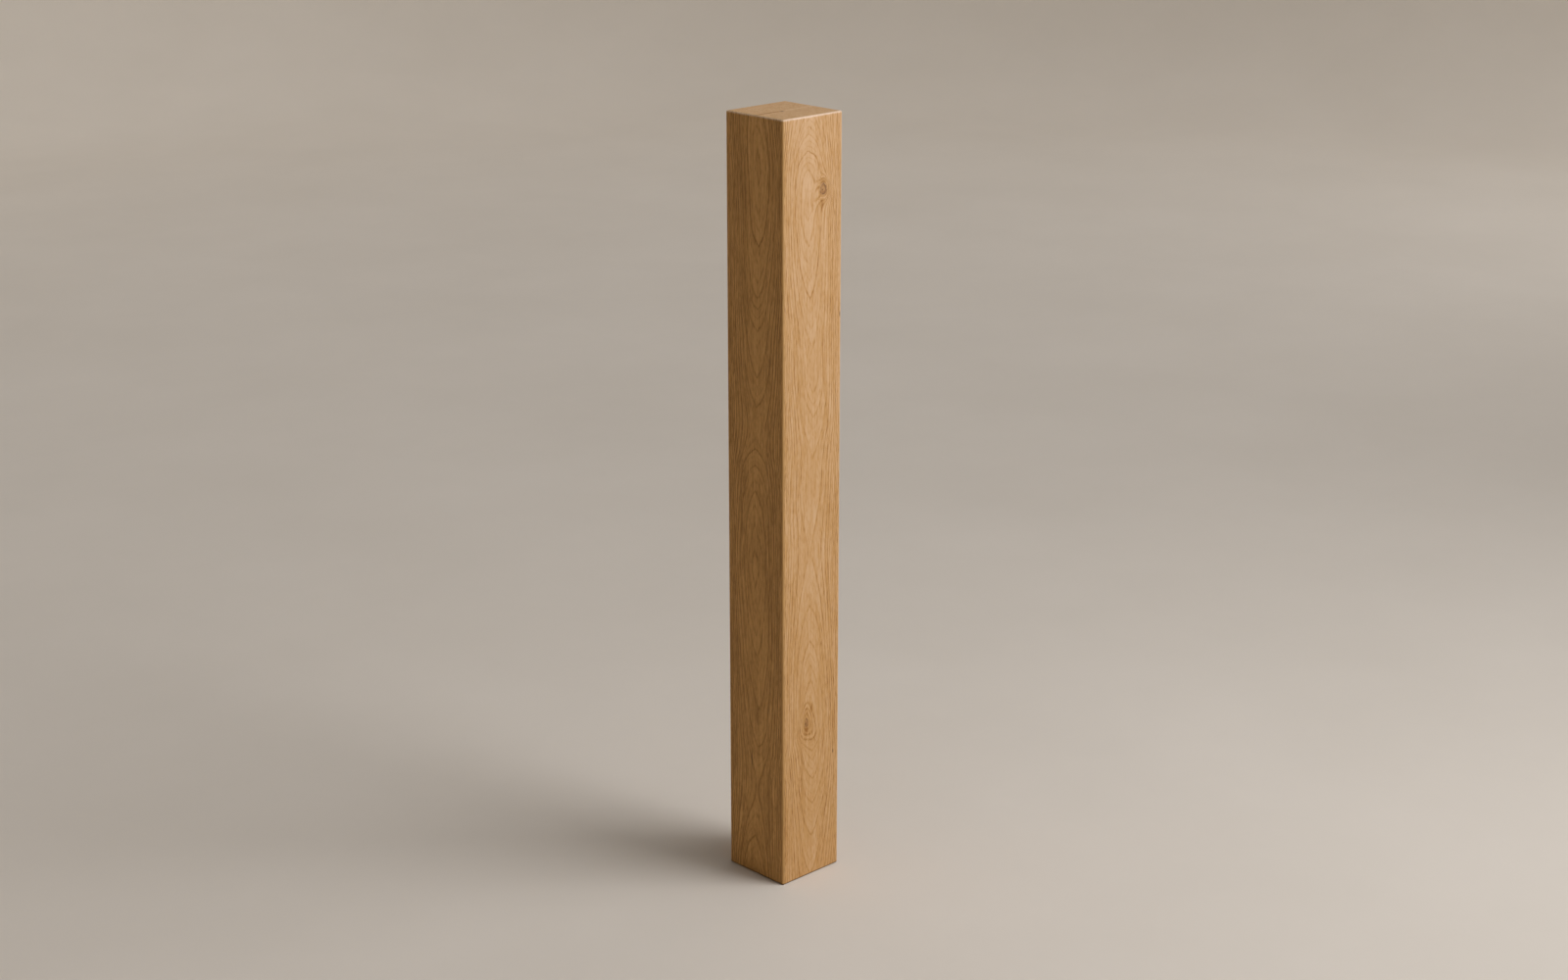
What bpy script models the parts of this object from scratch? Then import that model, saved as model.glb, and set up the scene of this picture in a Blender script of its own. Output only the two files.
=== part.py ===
"""A square oak post, planed on all four sides, with every edge eased by hand-plane and sandpaper.

It is one solid piece of wood. It stands on its sawn foot, with the origin at the middle of the foot, the length
along +Z, the knotty front face towards -Y and the left face towards -X.
"""

import bmesh
import bpy

# Sizes, in metres
POST_WIDTH = 0.090  # across the front face, along X
POST_DEPTH = 0.090  # from front to back, along Y
POST_LENGTH = 0.900  # from the foot to the head, along Z
EDGE_RADIUS = 0.002  # the easing of the four long arrises and of both ends
EDGE_SEGMENTS = 6  # flats that make each eased edge round

# The oiled oak
OAK_COLOUR = (0.482, 0.279, 0.122, 1.0)  # linear, a warm tan
OAK_ROUGHNESS = 0.55
SMOOTH_ANGLE = 0.6  # radians: the eased edges shade round


def clear_scene():
    for old in list(bpy.data.objects):
        bpy.data.objects.remove(old, do_unlink=True)


def oiled_oak():
    """The post's one finish: bare-looking oak under a matt oil."""
    material = bpy.data.materials.new("oiled_oak")
    material.use_nodes = True
    shader = material.node_tree.nodes["Principled BSDF"]
    shader.inputs["Base Color"].default_value = OAK_COLOUR
    shader.inputs["Roughness"].default_value = OAK_ROUGHNESS
    shader.inputs["Metallic"].default_value = 0.0
    return material


def sawn_blank(name, width, depth, length):
    """The square-edged timber: its section is drawn on the floor and extruded up to the head."""
    shape = bmesh.new()
    half_width, half_depth = width / 2, depth / 2
    corners = [
        shape.verts.new((-half_width, -half_depth, 0)),
        shape.verts.new((half_width, -half_depth, 0)),
        shape.verts.new((half_width, half_depth, 0)),
        shape.verts.new((-half_width, half_depth, 0)),
    ]
    section = shape.faces.new(corners)
    risen = bmesh.ops.extrude_face_region(shape, geom=[section])
    head = [item for item in risen["geom"] if isinstance(item, bmesh.types.BMVert)]
    bmesh.ops.translate(shape, verts=head, vec=(0, 0, length))
    bmesh.ops.recalc_face_normals(shape, faces=shape.faces)
    mesh = bpy.data.meshes.new(name)
    shape.to_mesh(mesh)
    shape.free()
    blank = bpy.data.objects.new(name, mesh)
    bpy.context.scene.collection.objects.link(blank)
    return blank


def ease_edges(timber, radius, segments):
    """Rounds all twelve edges to one radius, so that three of them meet in a ball corner."""
    easing = timber.modifiers.new("eased_edges", "BEVEL")
    easing.offset_type = "OFFSET"
    easing.width = radius
    easing.segments = segments
    easing.limit_method = "ANGLE"
    timber.data.shade_smooth()
    timber.data.set_sharp_from_angle(angle=SMOOTH_ANGLE)


def make_post():
    post = sawn_blank("post", POST_WIDTH, POST_DEPTH, POST_LENGTH)
    ease_edges(post, EDGE_RADIUS, EDGE_SEGMENTS)
    post.data.materials.append(oiled_oak())
    return post


clear_scene()
make_post()
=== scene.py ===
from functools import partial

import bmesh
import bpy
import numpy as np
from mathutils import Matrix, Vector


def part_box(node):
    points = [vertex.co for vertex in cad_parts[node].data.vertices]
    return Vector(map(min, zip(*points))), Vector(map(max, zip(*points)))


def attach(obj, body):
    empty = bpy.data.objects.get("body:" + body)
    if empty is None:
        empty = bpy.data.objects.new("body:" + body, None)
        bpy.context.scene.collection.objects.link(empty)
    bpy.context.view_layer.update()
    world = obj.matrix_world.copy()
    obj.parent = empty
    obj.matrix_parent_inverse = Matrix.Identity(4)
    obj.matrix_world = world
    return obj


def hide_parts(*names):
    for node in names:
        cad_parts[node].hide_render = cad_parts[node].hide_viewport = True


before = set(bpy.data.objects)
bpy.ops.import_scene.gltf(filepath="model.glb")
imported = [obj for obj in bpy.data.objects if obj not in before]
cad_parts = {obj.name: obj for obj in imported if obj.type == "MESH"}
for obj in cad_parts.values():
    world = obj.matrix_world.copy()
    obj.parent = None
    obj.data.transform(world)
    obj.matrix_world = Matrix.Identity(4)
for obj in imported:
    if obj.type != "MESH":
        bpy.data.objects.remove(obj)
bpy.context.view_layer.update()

# %% [markdown]
# # A square oak post
#
# The real thing is one stick of oak, 90 mm square and 900 mm long. It was sawn with the heart of the tree
# inside it, planed on its four sides, brushed lightly along the grain, sanded round its edges and rubbed
# with a matt oil. There is hardly any form to model, so everything that makes it look real is in the wood.
#
# Wood could be painted on as a flat picture for each side, but then the grain breaks at every edge. Here it
# grows as a solid instead: one recipe of nodes says, for any point inside the timber, which year's ring it
# lies in, how the fibres run past a knot, and where the pores are. The material reads that recipe, and so
# does the modifier that brushes the grain into the mesh, so colour and relief always agree, on the sides
# and on the sawn ends.

MM = 0.001  # one millimetre, in the frame's metres
post_low, post_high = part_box("post")
WIDTH, DEPTH, LENGTH = ((post_high - post_low) / MM)[:]  # millimetres
HALF = WIDTH / 2
print(f"The post is {WIDTH:.0f} x {DEPTH:.0f} x {LENGTH:.0f} mm")

# %% [markdown]
# ## One function for nodes
#
# A node tree is easier to read as a list of steps than as a web. This one function adds a node, sets its
# buttons, and fills its inputs in the order that Blender shows them: a socket is linked, a number is typed
# in, and None is left as it is. It hands back the output that the next step needs. Three steps come back
# all through the wood, so each has a word of its own below: times, fade and noise.

# %% Adding a node
def add(tree, kind, *inputs, out=0, **buttons):
    name = kind if kind.startswith(("Geometry", "Node")) else "ShaderNode" + kind
    new = tree.nodes.new(name)
    for button, value in buttons.items():
        setattr(new, button, value)
    for socket, value in zip(new.inputs, inputs):
        if isinstance(value, bpy.types.NodeSocket):
            tree.links.new(value, socket)
        elif value is not None:
            socket.default_value = value
    return new.outputs[out]


def times(put, one, other):
    return put("Math", one, other, operation="MULTIPLY")


def fade(put, value, full, none):
    """1 where the value has reached its first limit, 0 at its second, and a soft step between them."""
    return put("MapRange", value, full, none, 1.0, 0.0, interpolation_type="SMOOTHSTEP")


def noise(put, where, wide, tall, detail=1.0, rough=0.5, out=0):
    """Smooth noise in spots that are so many millimetres wide and tall."""
    cell = put("VectorMath", where, (1 / wide, 1 / wide, 1 / tall), operation="MULTIPLY")
    return put("TexNoise", cell, None, 1.0, detail, rough, out=out)


# %% [markdown]
# ## Colours
#
# Colours are sRGB hex values, as in any paint program. They were tuned until the mean colours of the
# rendered sides came close to the real ones. Light adds up in linear values, so one function turns each hex
# colour to linear before Blender sees it.

# %% From hex to linear
def linear(hex_colour):
    parts = [int(hex_colour[i : i + 2], 16) / 255 for i in (1, 3, 5)]
    return (*[p / 12.92 if p <= 0.04045 else ((p + 0.055) / 1.055) ** 2.4 for p in parts], 1.0)


# %% [markdown]
# ## Where the heart of the tree runs
#
# A tree grows in rings round its heart, the pith. The pith wanders a few millimetres up the post. Where it
# comes nearer to a side, the plane has cut through more rings there, and they show as pointed arches; where
# it draws away, the arches turn over. So the pith's path alone draws the tall nested arches on all four
# sides.
#
# Each list below says, for some heights in millimetres, which ring the plane touches in the middle of a
# side, counted from the heart. They are read off from where the arches stand on the two sides that show: a
# whole number puts the point of an arch at that height.

# %% The pith's path and the rings' width
RING_WIDTH = 1.6  # mm, slow-grown oak
HEART_SHIFT = -RING_WIDTH  # mm, one whole ring nearer to both sides, which keeps the arches where they are
LEFT_RINGS = (
    (0, 29.0), (50, 30.0), (89, 30.7), (120, 30.9), (146, 30.6), (169, 30.0), (222, 29.0), (280, 28.0),
    (362, 27.0), (386, 26.8), (409, 27.0), (470, 28.0), (502, 29.0), (523, 30.0), (546, 30.4), (572, 30.0),
    (613, 29.0), (665, 28.0), (702, 27.0), (757, 26.0), (800, 25.3), (850, 25.0), (900, 25.6),
)
FRONT_RINGS = (
    (0, 31.2), (57, 30.0), (96, 29.0), (130, 28.0), (160, 27.3), (196, 26.9), (240, 27.2), (285, 28.0),
    (332, 29.0), (388, 30.0), (403, 30.1), (418, 30.0), (470, 29.2), (517, 29.0), (560, 28.0), (600, 27.2),
    (647, 27.0), (707, 26.0), (765, 25.0), (803, 24.7), (840, 25.0), (860, 26.0), (877, 27.0), (900, 28.0),
)
MOST_RINGS = 50  # the curves below run from 0 to this
rings_at_head = FRONT_RINGS[-1][1] + HEART_SHIFT / RING_WIDTH
print(f"{rings_at_head:.0f} rings lie between the heart and the front side at the head")


def pith_offset(put, up, rings):
    """How far the pith lies from the post's middle at this height, in millimetres, by a smooth curve."""
    share = put("Math", up, LENGTH, operation="DIVIDE", use_clamp=True)
    curve = put("FloatCurve", 1.0, share)
    points = curve.node.mapping.curves[0].points
    for i, (height, ring) in enumerate(rings):
        place = (height / LENGTH, ring / MOST_RINGS)
        if i < 2:
            points[i].location = place
        else:
            points.new(*place)
    curve.node.mapping.update()
    return put("Math", curve, MOST_RINGS * RING_WIDTH, HEART_SHIFT - HALF, operation="MULTIPLY_ADD")


# %% [markdown]
# ## Two small knots
#
# Two branches grew out of the heart towards the front side, and the plane cut them across. The fibres of
# the trunk run round a branch as water runs round a stone, so the formula for the flow past a round pillar
# moves each point sideways before its ring is looked up. The rings also swell outwards round a branch, like
# a collar, and the plane cuts that swelling into closed loops.
#
# A branch has a heart of its own, which lies a little off its middle. Each knot keeps its distances from
# both, so that its rim, its darker crescent and the dot of its heart can be drawn later.

# %% The knots, the flow round them and their collars
KNOTS = (  # in mm; tall, ruffle, fill and ring are shares
    {"across": 16.2, "height": 818.0, "radius": 4.8, "rise": 16.0, "tall": 1.3, "collar": 4.0, "spread": 10.0,
     "ruffle": 0.7, "fill": 0.75, "ring": 1.0},
    {"across": -7.6, "height": 196.0, "radius": 2.9, "rise": 18.0, "tall": 2.0, "collar": 3.6, "spread": 9.5,
     "ruffle": 1.2, "fill": 0.55, "ring": 0.5},
)
FLOW_TALL = 2.0  # the fibres part further above and below a knot than beside it
FLOW_SHARE = 1.25  # what they part for, against the knot's own radius
NARROWING = 0.03  # for each mm upwards, which makes a knot a drop and not an oval
TO_MIDDLE = (0.9, 0.7, 0.0)  # mm, from a knot's own heart to its middle
NEAREST = 0.1  # mm, so that nothing is divided by none


def past_knots(put, place, ruffle):
    """Gives x as the fibres see it, the way out, the rings' lift and slope, and each knot's distances."""
    x, y, z = [put("SeparateXYZ", place, out=i) for i in range(3)]
    outward = put("MapRange", y, 0.0, -HALF, 0.0, 1.0)
    moved, lifted, steep = x, 0.0, 0.0
    cores = []
    for knot in KNOTS:
        core_x = times(put, outward, knot["across"])
        core_z = put("MapRange", outward, 0.0, 1.0, knot["height"] - knot["rise"], knot["height"])
        side = put("Math", x, core_x, operation="SUBTRACT")
        above = put("Math", z, core_z, operation="SUBTRACT")
        taper = put("Math", above, NARROWING, 1.0, operation="MULTIPLY_ADD")
        lowered = put("Math", above, knot["tall"], operation="DIVIDE")
        shaped = put("CombineXYZ", times(put, side, taper), lowered)
        core = put("VectorMath", shaped, operation="LENGTH", out=1)
        off_centre = put("VectorMath", shaped, TO_MIDDLE, operation="ADD")
        off_centre = put("VectorMath", off_centre, operation="LENGTH", out=1)
        ways = (core, off_centre)
        cores.append([put("Math", ruffle, knot["ruffle"], way, operation="MULTIPLY_ADD") for way in ways])
        near = put("Math", put("Math", core, knot["spread"], operation="DIVIDE"), 2.0, operation="POWER")
        swell = put("Math", times(put, near, -1.0), operation="EXPONENT")
        swell = times(put, swell, times(put, outward, knot["collar"]))
        lifted = put("Math", swell, lifted, operation="ADD")
        tilt = times(put, swell, times(put, core, 2 / knot["spread"] ** 2))
        steep = put("Math", tilt, steep, operation="ADD")
        flowing = put("CombineXYZ", side, put("Math", above, FLOW_TALL, operation="DIVIDE"))
        away = put("VectorMath", flowing, operation="LENGTH", out=1)
        away = put("Math", away, NEAREST, operation="MAXIMUM")
        body = times(put, outward, knot["radius"] * FLOW_SHARE)
        pushed = put("Math", body, away, operation="DIVIDE")
        pushed = put("Math", pushed, 2.0, operation="POWER", use_clamp=True)
        moved = put("Math", moved, times(put, side, pushed), operation="SUBTRACT")
    return moved, outward, lifted, steep, cores


# %% [markdown]
# ## The growth rings
#
# Each ring starts in spring with a row of wide open pores, the earlywood, which drinks the oil and turns
# dark; summer's latewood is dense and pale. A real row is about 0.4 mm wide, but a pixel of the picture
# covers about a millimetre, so the row is drawn 1.7 mm wide, the size at which it begins to show.
#
# Where the plane only grazes a ring, its row would smear out over many millimetres, so its share of the
# ring is cut back by the slope between ring and side. There the rings lie far apart as well, so two fainter
# growth lines are drawn between them. Every row gets its own strength and is broken into dashes, as rows of
# pores are.
#
# Round rings would draw arches that are narrower than the real ones. So on the sides the rings are a little
# square, by the formula of a superellipse, and on the sawn ends, where one sees them whole, they are round.

# %% Rings and their rows of spring pores
ROW_WIDTH = 1.7  # mm, a row of spring pores as it shows on the side
ROW_MIDDLE = 0.6  # how far into the row it is darkest, as a share of its width
END_ROW = 0.4  # the row's share of a ring on the sawn ends
GRAZING = 0.08  # the least slope between a ring and the side that cuts it
FLAT_CUT = (0.12, 0.35)  # the slopes between which the fainter growth lines fade out
POINTED = 0.045  # a slight ridge in each ring, which sharpens the arches
SQUARE = 2.9  # 2 would be round rings; more flattens them towards the sides and widens the arches
GROWTH_LINES = ((0.0, 0.75), (0.34, 0.3), (0.67, 0.35))  # where in the year's ring, and how strong
WEAKEST_YEAR = 0.35
RING_SHADE = 0.1  # each ring also starts a little darker as a whole
RIPPLE, RIPPLE_RINGS = (8.0, 80.0), 0.9  # mm wide and tall, and how many rings it moves
DASH = (1.3, 16.0)  # mm wide and tall, a stretch of a row
BAND_YEARS = 5.0  # slow years and fast years come in bands


def growth_rings(put, at, fibre_at, from_heart, end, lifted, steep):
    """The dark rows, the bands of years, the age in rings, and the slope between ring and side."""
    sizes = put("VectorMath", from_heart, operation="ABSOLUTE")
    size_x, size_y = put("SeparateXYZ", sizes), put("SeparateXYZ", sizes, out=1)
    short = put("Math", size_x, size_y, operation="MINIMUM")
    square = put("MapRange", end, 0.0, 1.0, SQUARE, 2.0)
    powers = put("Math", put("Math", size_x, square, operation="POWER"),
                 put("Math", size_y, square, operation="POWER"), operation="ADD")
    grown_out = put("Math", powers, put("Math", 1.0, square, operation="DIVIDE"), operation="POWER")
    slope = put("Math", put("Math", short, grown_out, operation="DIVIDE"), SQUARE - 1, operation="POWER")
    pointed = put("Math", short, POINTED, grown_out, operation="MULTIPLY_ADD")
    age = put("Math", put("Math", pointed, RING_WIDTH, operation="DIVIDE"), lifted, operation="SUBTRACT")
    ripple = put("MapRange", noise(put, at, *RIPPLE), 0.0, 1.0, -RIPPLE_RINGS, RIPPLE_RINGS)
    age = put("Math", ripple, slope, age, operation="MULTIPLY_ADD")
    slope = put("Math", slope, times(put, steep, RING_WIDTH), operation="MAXIMUM")
    slope = put("Math", slope, GRAZING, operation="ADD")

    row_share = put("MapRange", end, 0.0, 1.0, times(put, slope, ROW_WIDTH / RING_WIDTH), END_ROW)
    middle = times(put, row_share, ROW_MIDDLE)
    broken = put("MapRange", noise(put, fibre_at, *DASH), 0.35, 0.62, 0.2, 1.0)
    flat_cut = fade(put, slope, *FLAT_CUT)
    early = put("MapRange", put("Math", age, operation="FRACT"), 0.0, 0.8, RING_SHADE, 0.0)
    for later, strength in GROWTH_LINES:
        older = put("Math", age, later, operation="ADD")
        season = put("Math", older, operation="FRACT")
        from_row = put("Math", put("Math", season, middle, operation="SUBTRACT"), operation="ABSOLUTE")
        row = fade(put, from_row, 0.0, middle)
        line_name = put("Math", put("Math", older, operation="FLOOR"), later, operation="ADD")
        year = put("TexWhiteNoise", None, line_name, noise_dimensions="1D")
        vigour = put("MapRange", year, 0.0, 1.0, WEAKEST_YEAR, 1.0)
        vigour = times(put, vigour, flat_cut if later else 1.0)
        dashes = times(put, times(put, row, broken), vigour)
        early = put("Math", dashes, strength, early, operation="MULTIPLY_ADD")
    years = put("Math", age, BAND_YEARS, operation="DIVIDE")
    band = put("TexNoise", None, years, 1.0, 1.0, noise_dimensions="1D")
    return early, band, age, slope


# %% [markdown]
# ## Fibres, pores and veins
#
# Noise that is stretched along the post gives the fibres, and cells that are stretched the same way give
# the pores, as short dark dashes. Real oak pores are about 0.3 mm wide, too fine to show, so they are drawn
# about 0.7 mm wide. The veins are the thin layers inside a ring. They are noise in the ring's own space, so
# they follow every arch and bend, and they only show where the side cuts the rings steeply.

# %% Patterns along the grain
PORE_WIDE, PORE_TALL = 1.2, 10.0  # mm, the cell that each pore lies in
PORE_EDGE = (0.15, 0.45)  # where a pore begins and ends to fade, in cells from its middle
FIBRE = (0.85, 42.0, 2.0, 0.65)  # fine streaks: mm wide, mm tall, detail and roughness
VEIN, VEIN_ROUND, VEIN_TALL = 0.38, 6.0, 60.0  # rings thick, mm round the heart and mm tall
VEIN_THIN = 0.07  # how near to the middle of the noise a vein keeps
VEIN_PATCH = (6.0, 45.0)  # mm wide and tall, where veins come and go
STEEP_CUT = (0.3, 0.1)  # the slopes between which veins fade out
STREAK = (5.0, 170.0, 2.0)  # broader streaks: mm wide, mm tall and detail
CLOUD = (26.0, 260.0, 2.0)  # slow changes over the whole post
MOTTLE = (1.6, 1.6, 2.0)  # the speckle of the sawn ends


def along_the_grain(put, at, fibre_at, from_heart, radius, z, age, slope):
    """Pores, fibres, layers, veins, streaks, clouds and the ends' speckle, by name."""
    cell = put("VectorMath", fibre_at, (1 / PORE_WIDE, 1 / PORE_WIDE, 1 / PORE_TALL), operation="MULTIPLY")
    pore = fade(put, put("TexVoronoi", cell, None, 1.0), *PORE_EDGE)
    fibre = noise(put, fibre_at, *FIBRE)
    out_to_side = put("Math", HALF / VEIN_ROUND, radius, operation="DIVIDE")
    round_way = put("VectorMath", from_heart, None, None, out_to_side, operation="SCALE")
    layer_x, layer_y = put("SeparateXYZ", round_way), put("SeparateXYZ", round_way, out=1)
    layer_at = put("CombineXYZ", layer_x, layer_y, put("Math", z, VEIN_TALL, operation="DIVIDE"))
    layer_age = put("Math", age, VEIN, operation="DIVIDE")
    layer = put("TexNoise", layer_at, layer_age, 1.0, 2.0, 0.6, noise_dimensions="4D")
    vein = put("Math", put("Math", layer, 0.5, operation="SUBTRACT"), operation="ABSOLUTE")
    patch = put("MapRange", noise(put, fibre_at, *VEIN_PATCH), 0.35, 0.65, 0.25, 1.0)
    vein = times(put, fade(put, vein, 0.0, VEIN_THIN), patch)
    vein = times(put, vein, fade(put, slope, *STEEP_CUT))
    streak, cloud = noise(put, fibre_at, *STREAK), noise(put, fibre_at, *CLOUD)
    return {"pore": pore, "fibre": fibre, "layer": layer, "vein": vein, "streak": streak, "cloud": cloud,
            "mottle": noise(put, at, *MOTTLE)}


# %% [markdown]
# ## Marks
#
# A knot is a darker fill, a dark rim that comes and goes, a crescent on the side away from its own heart,
# and a dot for that heart. The wood near it has a soft brown stain. Besides the knots there are three small
# dark flecks. All of them are drawn only where they lie, by distance.

# %% Knots, stains and flecks
FLECKS = (  # small dark marks: where, how wide and how tall, in mm
    {"at": (42.8, -45.0, 673.0), "size": (1.0, 4.0, 4.2)},
    {"at": (36.1, -45.0, 147.0), "size": (1.1, 4.0, 3.6)},
    {"at": (-45.0, 7.2, 146.0), "size": (4.0, 1.1, 14.0)},
)
SMUDGES = (  # soft dark patches by the knots: where, and how far they reach, in mm
    {"at": (15.0, -45.0, 802.0), "size": (4.5, 4.0, 9.0)},
    {"at": (-7.4, -45.0, 190.0), "size": (4.5, 4.0, 20.0)},
    {"at": (1.0, -45.0, 212.0), "size": (3.0, 4.0, 8.0)},
)
RIM_THICK = 1.2  # mm
RIM_PATCH = (3.0, 4.0)  # mm wide and tall, where a rim comes and goes
CRESCENT = 0.9  # how dark, against the rim
HEART_DOT = (0.4, 1.2)  # mm, where the dot of a knot's heart begins and ends to fade
HALO = 8.0  # mm, how far the wood round a knot is darker


def spots(put, at, marks, full, none):
    """How much of a soft-edged spot there is at this place, for a list of spots."""
    spot = 0.0
    for mark in marks:
        away = put("VectorMath", at, mark["at"], operation="SUBTRACT")
        away = put("VectorMath", away, mark["size"], operation="DIVIDE")
        away = put("VectorMath", away, operation="LENGTH", out=1)
        spot = put("Math", fade(put, away, full, none), spot, operation="MAXIMUM")
    return spot


def knot_marks(put, at, cores, outward):
    """Fill, rim and halo of all knots, by name, on the front side only."""
    front = put("MapRange", outward, 0.6, 0.9, 0.0, 1.0)
    patchy = put("MapRange", noise(put, at, *RIM_PATCH), 0.35, 0.6, 0.4, 1.0)
    marks = {"knot": [], "rim": [], "halo": []}
    for knot, (core, off_centre) in zip(KNOTS, cores):
        r = knot["radius"]
        to_rim = put("Math", put("Math", core, r - 0.5, operation="SUBTRACT"), operation="ABSOLUTE")
        ring = times(put, times(put, fade(put, to_rim, 0.0, RIM_THICK), patchy), knot["ring"])
        crescent = times(put, fade(put, core, r - 0.8, r + 0.6), fade(put, off_centre, r * 1.1, r * 0.6))
        marks["knot"].append(times(put, fade(put, core, r - 0.7, r + 0.7), knot["fill"]))
        marks["rim"] += [ring, times(put, crescent, CRESCENT), fade(put, off_centre, *HEART_DOT)]
        marks["halo"].append(put("MapRange", core, r, r + HALO, 1.0, 0.0, interpolation_type="SMOOTHERSTEP"))
    found = {}
    for name, (whole, *parts) in marks.items():
        for part in parts:
            whole = put("Math", whole, part, operation="MAXIMUM")
        found[name] = times(put, whole, front)
    return found


# %% [markdown]
# ## The wood at any point
#
# Now the whole recipe, which works in millimetres. A place drifts a little before its ring is looked up,
# because no tree grows by ruler. Then come the pith's place at this height, the rings, the grain and the
# marks. The last group says how near the place is to an end, to an edge or to the left side, where painted
# shade makes the wood darker and more golden, and how high up it is, for painted shade towards the foot.

# %% The recipe for oak
DRIFT, DRIFT_FAR = (45.0, 150.0), (1.5, 1.5, 0.0)  # mm wide and tall, and how far it moves a place
RUFFLE, RUFFLE_FAR = (2.6, 3.6, 2.0), 1.5  # the uneven outline of the knots, in mm
SAWN = (0.4, 1.2)  # mm below an end's flat, where end grain gives way to side grain
BRINK = (0.8, 2.6)  # mm in from an end or a side, the rounded edge between them
ARRIS = (0.8, 3.0)  # mm in from two sides, the rounded long edges
HEART_HOLE = (1.8, 3.0)  # mm from the pith, where its hole begins and ends to fade
RAY, RAY_TURN = (0.4, 1.8), 3.0  # mm: half of the ray's width, and where it turns from dark to light
WEST_BAND = 6.0  # mm, how far the left side's painted shade reaches round the edge
PAINTED_FALLOFF = (-0.12, 0.05)  # painted shade: the wood is drawn a little darker at the foot than at the head, as the light falls off
BROAD = (0.25, 0.6, 1.0, 0.3)  # rows that are cut steeply are too fine for the mesh, so they sink less


def oak(tree, place):
    """For a place in metres: how much of it is earlywood, pore, streak, knot and so on, by name."""
    put = partial(add, tree)
    at = put("VectorMath", place, (1 / MM,) * 3, operation="MULTIPLY")
    drift = put("VectorMath", noise(put, at, *DRIFT, out=1), (0.5,) * 3, operation="SUBTRACT")
    grown = put("VectorMath", drift, DRIFT_FAR, at, operation="MULTIPLY_ADD")
    ruffle = put("MapRange", noise(put, at, *RUFFLE), 0.0, 1.0, -RUFFLE_FAR, RUFFLE_FAR)
    moved, outward, lifted, steep, cores = past_knots(put, grown, ruffle)
    y, z = [put("SeparateXYZ", grown, out=i) for i in (1, 2)]
    fibre_at = put("CombineXYZ", moved, y, z)
    heart_at = put("CombineXYZ", pith_offset(put, z, LEFT_RINGS), pith_offset(put, z, FRONT_RINGS), z)
    from_heart = put("VectorMath", fibre_at, heart_at, operation="SUBTRACT")
    radius = put("VectorMath", from_heart, operation="LENGTH", out=1)
    heart_x, heart_y = put("SeparateXYZ", from_heart), put("SeparateXYZ", from_heart, out=1)

    height = put("SeparateXYZ", at, out=2)
    sawn_head = fade(put, height, *[LENGTH - mm for mm in SAWN])
    end = put("Math", sawn_head, fade(put, height, *SAWN), operation="MAXIMUM")
    early, band, age, slope = growth_rings(put, at, fibre_at, from_heart, end, lifted, steep)
    grain = along_the_grain(put, at, fibre_at, from_heart, radius, z, age, slope)

    reach = put("VectorMath", at, operation="ABSOLUTE")
    reach_x, reach_y = put("SeparateXYZ", reach), put("SeparateXYZ", reach, out=1)
    inner = put("Math", reach_x, reach_y, operation="MINIMUM")
    outer = put("Math", reach_x, reach_y, operation="MAXIMUM")
    brink = fade(put, outer, *[HALF - mm for mm in BRINK])
    near_head, near_foot = fade(put, height, *[LENGTH - mm for mm in BRINK]), fade(put, height, *BRINK)
    ray_side = put("MapRange", heart_x, -RAY_TURN, RAY_TURN, -1.0, 1.0)
    ray = times(put, fade(put, put("Math", heart_y, operation="ABSOLUTE"), *RAY), ray_side)
    return {
        "early": early, "band": band, "end": end, **grain, **knot_marks(put, at, cores, outward),
        "smudge": spots(put, at, SMUDGES, 0.1, 1.0), "fleck": spots(put, at, FLECKS, 0.3, 1.1),
        "heart": times(put, fade(put, radius, *HEART_HOLE), end), "ray": times(put, ray, end),
        "arris": fade(put, inner, *[HALF - mm for mm in ARRIS]),
        # The head's rim carries a painted highlight, and the foot's rounded edge a painted line of shade.
        "rim_head": times(put, near_head, brink), "foot_shade": times(put, near_foot, brink),
        "near_end": put("Math", near_head, near_foot, operation="MAXIMUM"),
        # painted shade: the left side's wood is drawn darker and more golden
        "west_shade": fade(put, put("SeparateXYZ", at), -HALF, -HALF + WEST_BAND),
        # painted shade: the tone darkens towards the foot
        "rise": put("MapRange", height, 0.0, LENGTH, *PAINTED_FALLOFF), "broad": put("MapRange", slope, *BROAD),
    }


# %% [markdown]
# ## The timber's mesh
#
# A square bar with rounded edges could be a cube with a bevel, but the brushed grain needs points to stand
# on: about one every millimetre across the grain, and far fewer along it, because grain runs lengthwise. So
# the bar is made from six grids of points with unequal steps. Points nearer to an edge than its radius are
# then pulled onto a ball or a cylinder of that radius, which rounds all the edges and corners in one line
# of code.

# %% Steps across and along
EDGE_RADIUS = 2.0  # mm
EDGE_STEPS = 3  # from a side's flat to the middle of the edge's curve, 15 degrees each
GRAIN_STEP = 1.0  # mm across the grain
NEAR_KNOT, STEP_ALONG = (22, 60), (1.6, 5.8)  # mm from a knot, and the step along the grain that goes with it


def cuts(half, flat_steps):
    """Places from -half to half: the given steps on the flat, and equal angles on the round edges."""
    flat = half - EDGE_RADIUS
    turn = np.radians(45) * np.arange(1, EDGE_STEPS + 1) / EDGE_STEPS
    edge = flat + EDGE_RADIUS * np.tan(turn)
    return np.concatenate([-edge[::-1], flat_steps, edge])


def along_steps():
    """Heights for the rows: short steps by the knots, where the grain turns, and long ones elsewhere."""
    flat = LENGTH / 2 - EDGE_RADIUS
    rows = [-flat]
    while rows[-1] < flat:
        height = rows[-1] + LENGTH / 2
        nearest = min(abs(height - knot["height"]) for knot in KNOTS)
        rows.append(rows[-1] + np.interp(nearest, NEAR_KNOT, STEP_ALONG))
    rows = np.array(rows)
    return (rows - rows[0]) / (rows[-1] - rows[0]) * 2 * flat - flat


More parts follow.
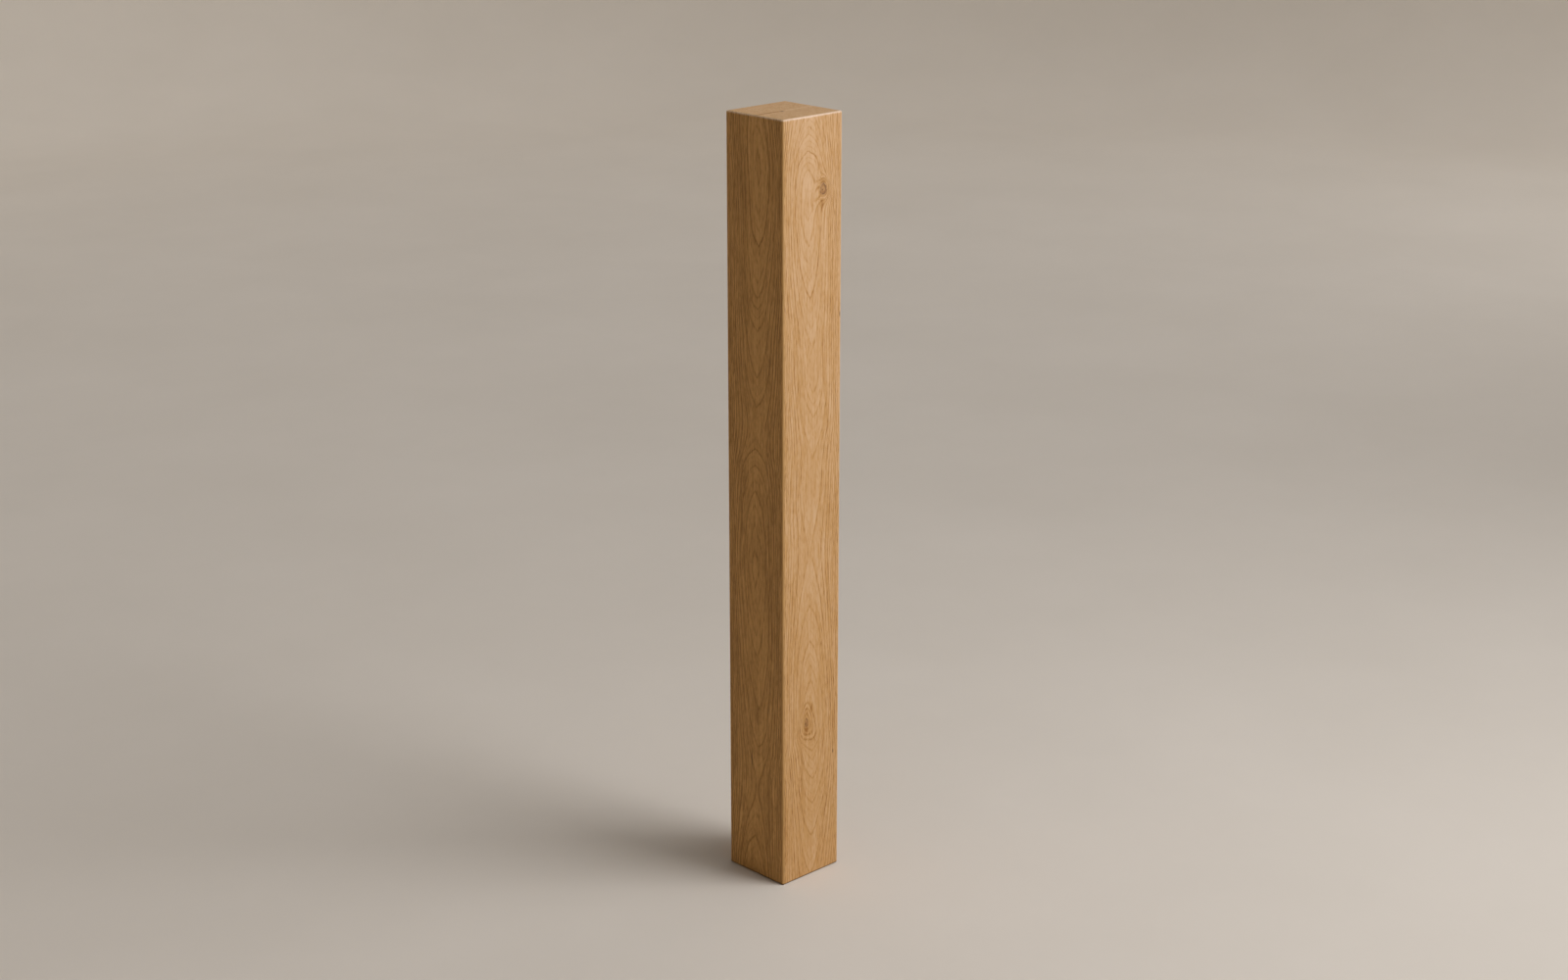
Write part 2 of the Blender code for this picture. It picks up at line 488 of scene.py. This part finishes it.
flat_half = HALF - EDGE_RADIUS
across = cuts(HALF, np.linspace(-flat_half, flat_half, round(2 * flat_half / GRAIN_STEP) + 1))
along = cuts(LENGTH / 2, along_steps())
print(f"{len(across)} points across each side and {len(along)} along it")


# %% Six grids, one bar
def side_grid(axis, sign):
    """One flat side as a grid of points and four-cornered faces, wound to look outwards."""
    u, v = [(1, 2), (2, 0), (0, 1)][axis]
    steps = {0: across, 1: across, 2: along}
    us, vs = np.meshgrid(steps[u], steps[v], indexing="ij")
    points = np.zeros((us.size, 3))
    points[:, u], points[:, v] = us.ravel(), vs.ravel()
    points[:, axis] = sign * (HALF, HALF, LENGTH / 2)[axis]
    index = np.arange(us.size).reshape(us.shape)
    corners = [index[:-1, :-1], index[1:, :-1], index[1:, 1:], index[:-1, 1:]]
    faces = np.stack([corner.ravel() for corner in corners[:: int(sign)]], 1)
    return points, faces


sides = [side_grid(axis, sign) for axis in (0, 1, 2) for sign in (1, -1)]
starts = np.cumsum([0] + [len(points) for points, _ in sides])
loose = np.concatenate([points for points, _ in sides])
loose_faces = np.concatenate([faces + start for (_, faces), start in zip(sides, starts)])
core_box = np.array([HALF, HALF, LENGTH / 2]) - EDGE_RADIUS
inner = np.clip(loose, -core_box, core_box)
outward_way = loose - inner
lengths = np.linalg.norm(outward_way, axis=1, keepdims=True)
rounded = inner + outward_way / lengths * EDGE_RADIUS
rounded[:, 2] += LENGTH / 2
_, first, joined = np.unique(np.round(rounded, 5), axis=0, return_index=True, return_inverse=True)
mesh = bpy.data.meshes.new("oak_post")
mesh.from_pydata(rounded[first] * MM, [], joined.ravel()[loose_faces].tolist())
post = bpy.data.objects.new("oak_post", mesh)
bpy.context.scene.collection.objects.link(post)
print(f"The bar has {len(mesh.vertices)} points and {2 * len(mesh.polygons)} triangles")

# %% [markdown]
# ## Room on the map
#
# A model with baked colours carries them as pictures, laid out on a square map. Grain is fine across and
# slow along, so the map gives the four long sides its whole width between them, and squeezes their length.

# %% The map for the baked pictures
MAP_TALL = 0.74  # share of the map's height for the long sides; the two ends lie below
MAP_SIDE = 0.25  # share of the map's width for each side
MAP_GAP = 0.01
uv = mesh.uv_layers.new(name="OFBake")
unrolled = np.zeros((len(loose_faces) * 4, 2))
row = 0
for side, (points, faces) in enumerate(sides):
    axis = side // 2
    u, v = [(1, 2), (0, 2), (0, 1)][axis]
    flat_u = points[:, u] / WIDTH + 0.5
    if axis < 2:
        flat_v = points[:, v] / LENGTH + 0.5
        left, low, tall = side * MAP_SIDE, 1 - MAP_TALL, MAP_TALL
    else:
        flat_v = points[:, v] / DEPTH + 0.5
        left, low, tall = (side - 4) * MAP_SIDE, 0.0, MAP_SIDE
    map_u = left + MAP_GAP / 2 + flat_u * (MAP_SIDE - MAP_GAP)
    map_v = low + MAP_GAP / 2 + flat_v * (tall - MAP_GAP)
    unrolled[row : row + faces.size] = np.stack([map_u, map_v], 1)[faces.ravel()]
    row += faces.size
uv.data.foreach_set("uv", unrolled.ravel())

# %% [markdown]
# ## Brushing the grain
#
# A wire brush takes out the soft earlywood and leaves the latewood standing. A Geometry Nodes modifier
# reads the same recipe of oak and sinks each point by its share of earlywood and pore, at most about a
# tenth of a millimetre, and not on the sanded edges. The soft pith is brushed out deeper. The modifier only
# ever sinks, so the post never grows past its true size. It is then applied.

# %% The relief
EARLY_DEPTH, PORE_DEPTH, HEART_DEPTH = 0.10, 0.03, 0.8  # mm
relief = bpy.data.node_groups.new("brushed_grain", "GeometryNodeTree")
relief.interface.new_socket("Geometry", in_out="INPUT", socket_type="NodeSocketGeometry")
relief.interface.new_socket("Geometry", in_out="OUTPUT", socket_type="NodeSocketGeometry")
put = partial(add, relief)
wood = oak(relief, put("GeometryNodeInputPosition"))
sunk = put("Math", wood["early"], EARLY_DEPTH, operation="MULTIPLY")
sunk = put("Math", wood["pore"], PORE_DEPTH, sunk, operation="MULTIPLY_ADD")
sunk = put("Math", sunk, wood["broad"], operation="MULTIPLY")
edge = put("Math", wood["arris"], wood["near_end"], operation="MAXIMUM")
sunk = put("Math", sunk, put("Math", 1.0, edge, operation="SUBTRACT"), operation="MULTIPLY")
sunk = put("Math", wood["heart"], HEART_DEPTH, sunk, operation="MULTIPLY_ADD")
metres_in = put("Math", sunk, -MM, operation="MULTIPLY")
inwards = put("VectorMath", put("GeometryNodeInputNormal"), None, None, metres_in, operation="SCALE")
carved = put("GeometryNodeSetPosition", put("NodeGroupInput"), None, None, inwards)
relief.links.new(carved, relief.nodes.new("NodeGroupOutput").inputs[0])

# %% Applying it
brushing = post.modifiers.new("brushed_grain", "NODES")
brushing.node_group = relief
flat_mesh = post.data
post.data = bpy.data.meshes.new_from_object(post.evaluated_get(bpy.context.evaluated_depsgraph_get()))
post.modifiers.clear()
bpy.data.meshes.remove(flat_mesh)
post.data.shade_smooth()
places = np.array([point.co for point in post.data.vertices]) / MM
on_front = (places[:, 1] < 1 - HALF) & (abs(places[:, 0]) < flat_half - 1)
on_front &= abs(places[:, 2] - LENGTH / 2) < LENGTH / 2 - EDGE_RADIUS - 1
brushed = places[on_front, 1] + HALF
print(f"The front side lies {brushed.mean():.3f} mm below its flat on average, "
      f"and {brushed.max():.3f} mm at most")

# %% [markdown]
# ## Oiled oak: its tone
#
# Oak under a matt oil is a warm tan that goes from straw in the latewood to brown in the pores. First the
# recipe is added up to one tone, from 0 for the darkest wood to 1 for the palest. The sanded edges show
# hardly any grain, the ends a little less of it than the sides, and the left side more.

# %% The tone of the wood
EITHER_WAY = {"fibre": 0.19, "layer": 0.10, "streak": 0.05, "cloud": 0.04, "band": 0.04}
DARKENS = {"early": 0.74, "vein": 0.29}
PORE_DARKENS = 0.5
CONTRAST = {"west_shade": 0.75, "end": -0.3, "arris": -0.85}  # how much more or less grain shows there
END_MOTTLE = 0.2
# Some shifts are painted light: the paler head rim is a painted highlight, the darker left side is painted
# shade, and the darker foot end of the post is painted shade where the light falls off.
SHIFTS = {"halo": -0.15, "smudge": -0.4, "end": -0.02, "arris": 0.12, "rim_head": 0.1, "ray": 0.65,
          "west_shade": -0.16, "rise": 1.0}
MEAN_TONE = 0.83

oiled_oak = bpy.data.materials.new("oiled_oak")
oiled_oak.use_nodes = True
tree = oiled_oak.node_tree
tree.nodes.clear()
put = partial(add, tree)
wood = oak(tree, put("TexCoord", out=3))
tone = 0.0
for name, most in EITHER_WAY.items():
    tone = put("Math", put("MapRange", wood[name], 0.25, 0.75, -most, most), tone, operation="ADD")
for name, less in DARKENS.items():
    tone = put("Math", wood[name], -less, tone, operation="MULTIPLY_ADD")
porous = times(put, wood["pore"], put("Math", wood["early"], 0.6, 0.4, operation="MULTIPLY_ADD"))
tone = put("Math", porous, -PORE_DARKENS, tone, operation="MULTIPLY_ADD")
for name, more in CONTRAST.items():
    tone = times(put, tone, put("Math", wood[name], more, 1.0, operation="MULTIPLY_ADD"))
mottle = times(put, put("MapRange", wood["mottle"], 0.25, 0.75, -END_MOTTLE, END_MOTTLE), wood["end"])
tone = put("Math", tone, mottle, operation="ADD")
for name, more in SHIFTS.items():
    tone = put("Math", wood[name], more, tone, operation="MULTIPLY_ADD")
tone = put("Math", tone, MEAN_TONE, operation="ADD", use_clamp=True)
print(f"The tone is worked out in {len(tree.nodes)} nodes")

# %% [markdown]
# ## Oiled oak: its colour
#
# The tone picks a colour from three browns. The left side stands in shade, and its warm shade is painted in:
# there the hue and saturation are mostly replaced by a more golden brown, on pale and dark wood alike, and
# the tone is kept. Over that come the knots, the flecks and the pith, a dark line of painted shade round the
# foot, and a pale line round the head, a painted highlight where light catches the rim.

# %% The colours of the wood and its marks
OAK_DARK, OAK_MID, OAK_PALE = linear("#996427"), linear("#C29050"), linear("#D5AB79")
# A golden brown that paints the warm shade on the left side.
OAK_SHADE_GOLD, OAK_SHADE_GOLD_SHARE = linear("#BC8F50"), 0.72
KNOT_DARK, KNOT_MID = linear("#663B14"), linear("#A87A48")
# The pale rim colour is a painted highlight. The darkest brown marks the flecks and the pith, and also paints
# the shade line round the foot.
DARKEST, RIM_GLINT = linear("#3E2A14"), linear("#F0D8B4")


def mixed(put, share, one, other, **buttons):
    """Two colours mixed by a share. The node has five unused sockets between the share and the colours."""
    return put("Mix", share, *[None] * 5, one, other, data_type="RGBA", out=2, **buttons)


ramp = put("ValToRGB", tone)
stops = ramp.node.color_ramp.elements
stops[0].position, stops[0].color = 0.05, OAK_DARK
stops[1].position, stops[1].color = 0.95, OAK_PALE
stops.new(0.55).color = OAK_MID
# painted shade: the shaded left side turns more golden in hue
colour = mixed(put, times(put, wood["west_shade"], OAK_SHADE_GOLD_SHARE), ramp, OAK_SHADE_GOLD, blend_type="COLOR")
fleck_or_pith = put("Math", wood["fleck"], 0.8, wood["heart"], operation="MULTIPLY_ADD", use_clamp=True)
# painted highlight: a pale glint along the head's rim, broken by the grain; the same mask also lowers the
# roughness there
polish_and_glint = times(put, wood["rim_head"], put("MapRange", wood["fibre"], 0.35, 0.6, 0.2, 1.0))
for covered, most, paint in (
    (wood["knot"], 0.75, KNOT_MID),
    (wood["rim"], 0.75, KNOT_DARK),
    (fleck_or_pith, 0.9, DARKEST),
    # painted shade: the dark line round the foot, where the rounded edge turns under towards the floor
    (wood["foot_shade"], 0.7, DARKEST),
    (polish_and_glint, 0.6, RIM_GLINT),
):
    colour = mixed(put, times(put, covered, most), colour, paint)

# %% [markdown]
# ## Oiled oak: its sheen
#
# The oil leaves a soft sheen and no gloss: the roughness is 0.46 on the palest wood and 0.66 on the
# darkest, less on the polished rim and more on the open end grain. The index of refraction is that of wood
# and oil, 1.5. The bump is for what is too fine for the mesh: fibres, pores and veins.

# %% The surface
ROUGH_DARK, ROUGH_PALE = 0.66, 0.46
OAK_IOR, OAK_SPECULAR = 1.5, 0.3
BUMP_STRENGTH, BUMP_DEPTH = 0.6, 0.0002  # the depth is in metres
rough = put("MapRange", tone, 0.0, 1.0, ROUGH_DARK, ROUGH_PALE)
for where, more in ((polish_and_glint, -0.3), (wood["end"], 0.3)):
    rough = put("Math", where, more, rough, operation="MULTIPLY_ADD")
ridge = put("Math", wood["fibre"], 0.6, wood["layer"], operation="MULTIPLY_ADD")
for groove, depth in ((porous, 0.9), (wood["vein"], 0.6), (wood["early"], 0.8)):
    ridge = put("Math", groove, -depth, ridge, operation="MULTIPLY_ADD")
ridge = times(put, ridge, put("Math", wood["arris"], -0.9, 1.0, operation="MULTIPLY_ADD"))
bump = put("Bump", BUMP_STRENGTH, BUMP_DEPTH, None, ridge)
surface = put("BsdfPrincipled", colour, 0.0, rough, OAK_IOR, None, bump)
surface.node.inputs["Specular IOR Level"].default_value = OAK_SPECULAR
tree.links.new(surface, tree.nodes.new("ShaderNodeOutputMaterial").inputs[0])
post.data.materials.clear()
post.data.materials.append(oiled_oak)
print(f"Oiled oak has {len(tree.nodes)} nodes")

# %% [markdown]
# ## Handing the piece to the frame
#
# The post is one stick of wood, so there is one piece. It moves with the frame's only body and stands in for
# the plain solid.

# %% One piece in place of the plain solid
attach(post, "root")
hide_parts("post")

# %% [markdown]
# ## A pale floor
#
# The post stands on a plain pale floor that turns up into a wall far away, without a corner. A flat plane
# would end in a hard line behind the post, so a bent profile is spun round it instead, which looks the same
# from every side. It is smooth plaster: matt, and mottled so faintly that the eye reads it as plain.

# %% The floor
FLOOR_RADIUS, BEND, WALL = 5.0, 1.5, 3.5  # metres
BEND_POINTS, ROUND_STEPS = 13, 96
profile = bmesh.new()
bend = np.radians(np.linspace(0, 90, BEND_POINTS))
path = [(0.0, 0.0)] + [(FLOOR_RADIUS + BEND * np.sin(a), BEND - BEND * np.cos(a)) for a in bend]
path.append((FLOOR_RADIUS + BEND, WALL))
line = [profile.verts.new((r, 0, h)) for r, h in path]
edges = [profile.edges.new(pair) for pair in zip(line, line[1:])]
full_turn = {"axis": (0, 0, 1), "cent": (0, 0, 0), "steps": ROUND_STEPS, "angle": np.radians(360)}
bmesh.ops.spin(profile, geom=line + edges, use_merge=True, **full_turn)
bmesh.ops.remove_doubles(profile, verts=profile.verts, dist=0.0001)
bmesh.ops.recalc_face_normals(profile, faces=profile.faces)
floor_mesh = bpy.data.meshes.new("studio_floor")
profile.to_mesh(floor_mesh)
profile.free()
floor_mesh.shade_smooth()
floor = bpy.data.objects.new("studio_floor", floor_mesh)
bpy.context.scene.collection.objects.link(floor)

# %% Smooth plaster
PLASTER_DARK, PLASTER_PALE = linear("#CFC0A4"), linear("#D9CAAE")
plaster = bpy.data.materials.new("smooth_plaster")
plaster.use_nodes = True
tree = plaster.node_tree
put = partial(add, tree)
mottle = put("TexNoise", put("TexCoord", out=3), None, 2.2, 6.0, 0.6)
matt = tree.nodes["Principled BSDF"]
tree.links.new(mixed(put, mottle, PLASTER_DARK, PLASTER_PALE), matt.inputs["Base Color"])
matt.inputs["Roughness"].default_value = 1.0
matt.inputs["Specular IOR Level"].default_value = 0.1
floor_mesh.materials.append(plaster)
print(f"The floor is {2 * (FLOOR_RADIUS + BEND):.0f} m across")

# %% [markdown]
# ## Soft light
#
# The post is lit as by a large window on the camera's right: the light is cool, the front side is bright,
# the left side is in shade, and a soft shadow falls to the left. A wide far light gives that shadow, a
# second one from above fills it, and a large soft box lights the front side. Two boxes only wash the
# background, so that it looks even from the camera, and a weak warm box on the left stands for light that
# comes back from the room. The boxes are hidden from the camera, because other views look straight at them.

# %% Lights
def soft_box(name, place, aim, size, watts, colour):
    lamp = bpy.data.lights.new(name, "AREA")
    lamp.shape, lamp.size, lamp.size_y = "RECTANGLE", size[0], size[1]
    lamp.energy, lamp.color = watts, linear(colour)[:3]
    box = bpy.data.objects.new(name, lamp)
    box.location = place
    box.rotation_euler = (Vector(aim) - Vector(place)).to_track_quat("-Z", "Y").to_euler()
    box.visible_camera = False
    bpy.context.scene.collection.objects.link(box)


def far_light(name, way, spread, strength, colour):
    lamp = bpy.data.lights.new(name, "SUN")
    lamp.angle, lamp.energy, lamp.color = np.radians(spread), strength, linear(colour)[:3]
    sun = bpy.data.objects.new(name, lamp)
    sun.rotation_euler = Vector(way).to_track_quat("-Z", "Y").to_euler()
    bpy.context.scene.collection.objects.link(sun)


DAYLIGHT, WARM = "#DDE5FF", "#FFC45C"
far_light("window", (-0.45, 0.70, -0.60), 54, 1.9, DAYLIGHT)
far_light("ceiling", (-0.12, 0.10, -1.0), 45, 1.0, DAYLIGHT)
soft_box("key", (0.95, -1.7, 1.7), (0, 0, 0.6), (1.3, 1.3), 40.5, DAYLIGHT)
soft_box("wall_wash", (4.2, -0.9, 2.0), (6.1, 2.5, 2.0), (1.5, 1.5), 75.0, DAYLIGHT)
soft_box("rear_wash", (2.0, -2.8, 2.0), (4.2, -5.0, 2.2), (2.0, 1.5), 50.0, DAYLIGHT)
soft_box("warm_wall", (-2.4, 0.3, 0.9), (0, 0, 0.45), (1.6, 1.6), 1.3, WARM)

# %% The air between them
AIR, AIR_STRENGTH = linear("#F0EEE8"), 0.01
world = bpy.data.worlds.new("studio")
world.use_nodes = True
world.node_tree.nodes["Background"].inputs[0].default_value = AIR
world.node_tree.nodes["Background"].inputs[1].default_value = AIR_STRENGTH
bpy.context.scene.world = world
bpy.context.scene.view_settings.view_transform = "Standard"

# %% [markdown]
# ## The camera
#
# It stands off the corner between the left side and the front side and looks down on the head a little. Its
# place and lens come from where the post's corners fall in the picture, with the stated sizes kept. From
# there the post narrows by about a tenth from its head to its foot.

# %% The camera
LENS, SENSOR = 59.7, 36.0  # mm
CAMERA_PLACE, LOOK_AT = (-1.959, -2.028, 1.373), (0.0, 0.0, 0.466)  # metres
camera_data = bpy.data.cameras.new("camera")
camera_data.lens, camera_data.sensor_width = LENS, SENSOR
camera = bpy.data.objects.new("camera", camera_data)
camera.location = CAMERA_PLACE
look = Vector(LOOK_AT) - camera.location
camera.rotation_euler = look.to_track_quat("-Z", "Y").to_euler()
bpy.context.scene.collection.objects.link(camera)
bpy.context.scene.camera = camera
print(f"The camera stands {look.length:.2f} m from the post")
